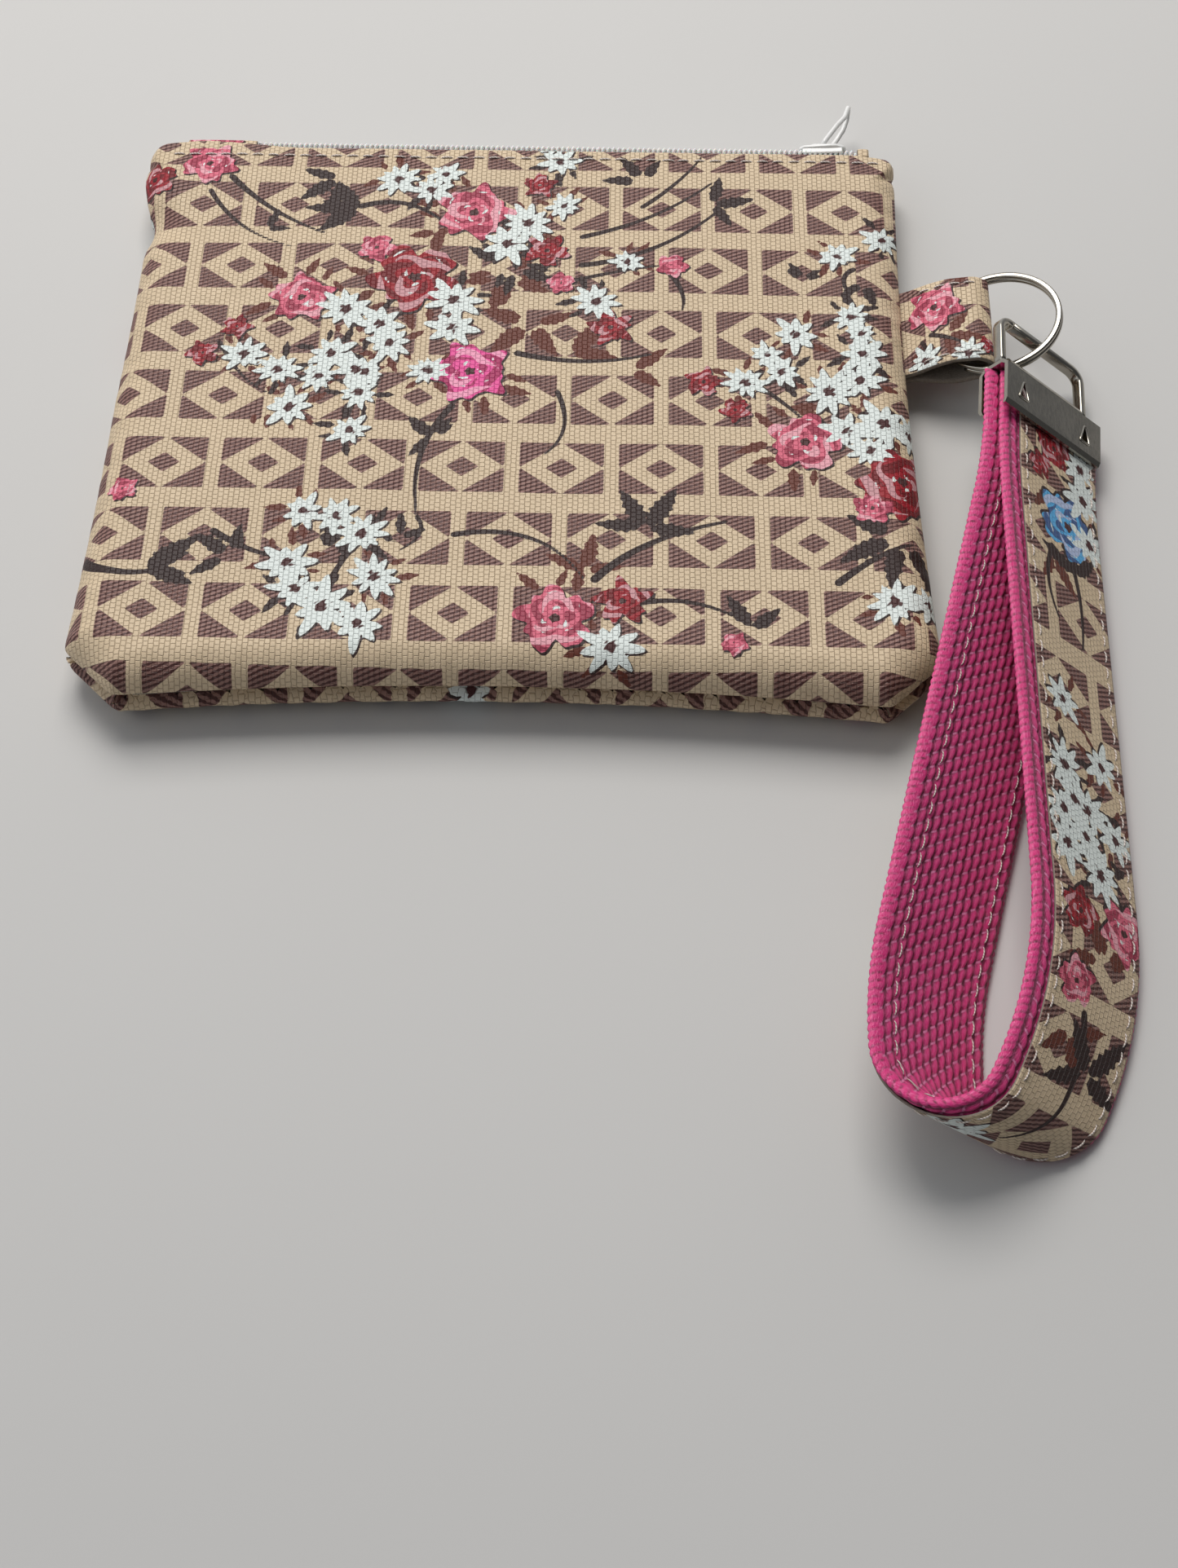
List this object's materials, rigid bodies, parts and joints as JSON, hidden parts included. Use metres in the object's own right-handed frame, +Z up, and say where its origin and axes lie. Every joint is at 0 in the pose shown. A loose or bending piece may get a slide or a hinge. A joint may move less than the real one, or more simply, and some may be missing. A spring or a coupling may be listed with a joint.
{
  "type": "wristlet wallet",
  "caption": "Flat zipper pouch in printed coated canvas with a side tab, split ring, strap clamp and a folded webbing wrist loop.",
  "frame": {"origin": "on the resting face of the back panel, under the middle of the pouch", "axes": "+Z up from the resting face, +Y towards the zipper, +X towards the side tab and the strap"},
  "size_m": [0.1919, 0.2374, 0.0228],
  "materials": {
    "printed_canvas": "embossed coated canvas, satin",
    "printed_strip": "embossed coated canvas, satin",
    "lining": "plain woven cotton, matte",
    "zipper_tape": "woven tape, matte",
    "zipper_coil": "nylon coil, satin",
    "white_enamel": "white enamel",
    "thread": "polyester thread",
    "nickel": "polished nickel plate",
    "pink_webbing": "woven nylon webbing"
  },
  "bodies": {
    "pouch": {"front_panel": "printed_canvas", "back_panel": "printed_canvas", "lining_front": "lining", "lining_back": "lining", "zipper_tape_front": "zipper_tape", "zipper_tape_back": "zipper_tape", "zipper_coil_front": "zipper_coil", "zipper_coil_back": "zipper_coil", "zipper_end_tab_left": "printed_canvas", "zipper_end_tab_right": "printed_canvas", "topstitch_front": "thread", "topstitch_back": "thread"},
    "slider": {"slider_body": "white_enamel", "slider_crown": "white_enamel"},
    "pull": {"pull_loop": "white_enamel"},
    "tab": {"side_tab": "printed_canvas", "tab_stitching": "thread"},
    "ring": {"split_ring": "nickel"},
    "bail": {"bail": "nickel"},
    "strap": {"strap_clamp": "nickel", "strap_webbing": "pink_webbing", "strap_print_strip": "printed_strip", "strap_stitch_lower": "thread", "strap_stitch_upper": "thread"}
  },
  "joints": [
    {"name": "zipper_slide", "type": "slide", "parent": "pouch", "child": "slider", "axis": [-1, 0, 0], "range_m": [0, 0.111]},
    {"name": "pull_hinge", "type": "hinge", "parent": "slider", "child": "pull", "pos_m": [0.0615, 0.07415, 0.007], "axis": [0, 0, 1], "range_deg": [-58, 118]},
    {"name": "tab_flex", "type": "hinge", "parent": "pouch", "child": "tab", "pos_m": [0.0774, 0.0228, 0.0068], "axis": [0, -1, 0], "range_deg": [-4, 18]},
    {"name": "ring_turn", "type": "hinge", "parent": "tab", "child": "ring", "pos_m": [0.094, 0.0228, 0.011], "axis": [-0.2924, 0, 0.9563], "range_deg": [-2, 40]},
    {"name": "bail_swing", "type": "hinge", "parent": "ring", "child": "bail", "pos_m": [0.10126, 0.01604, 0.01137], "axis": [-0.7642, 0.0545, 0.6427], "range_deg": [-1, 50]},
    {"name": "clamp_pivot", "type": "hinge", "parent": "bail", "child": "strap", "pos_m": [0.10064, 0.00461, 0.01161], "axis": [-0.7642, 0.0545, 0.6427], "range_deg": [-1, 40]}
  ]
}
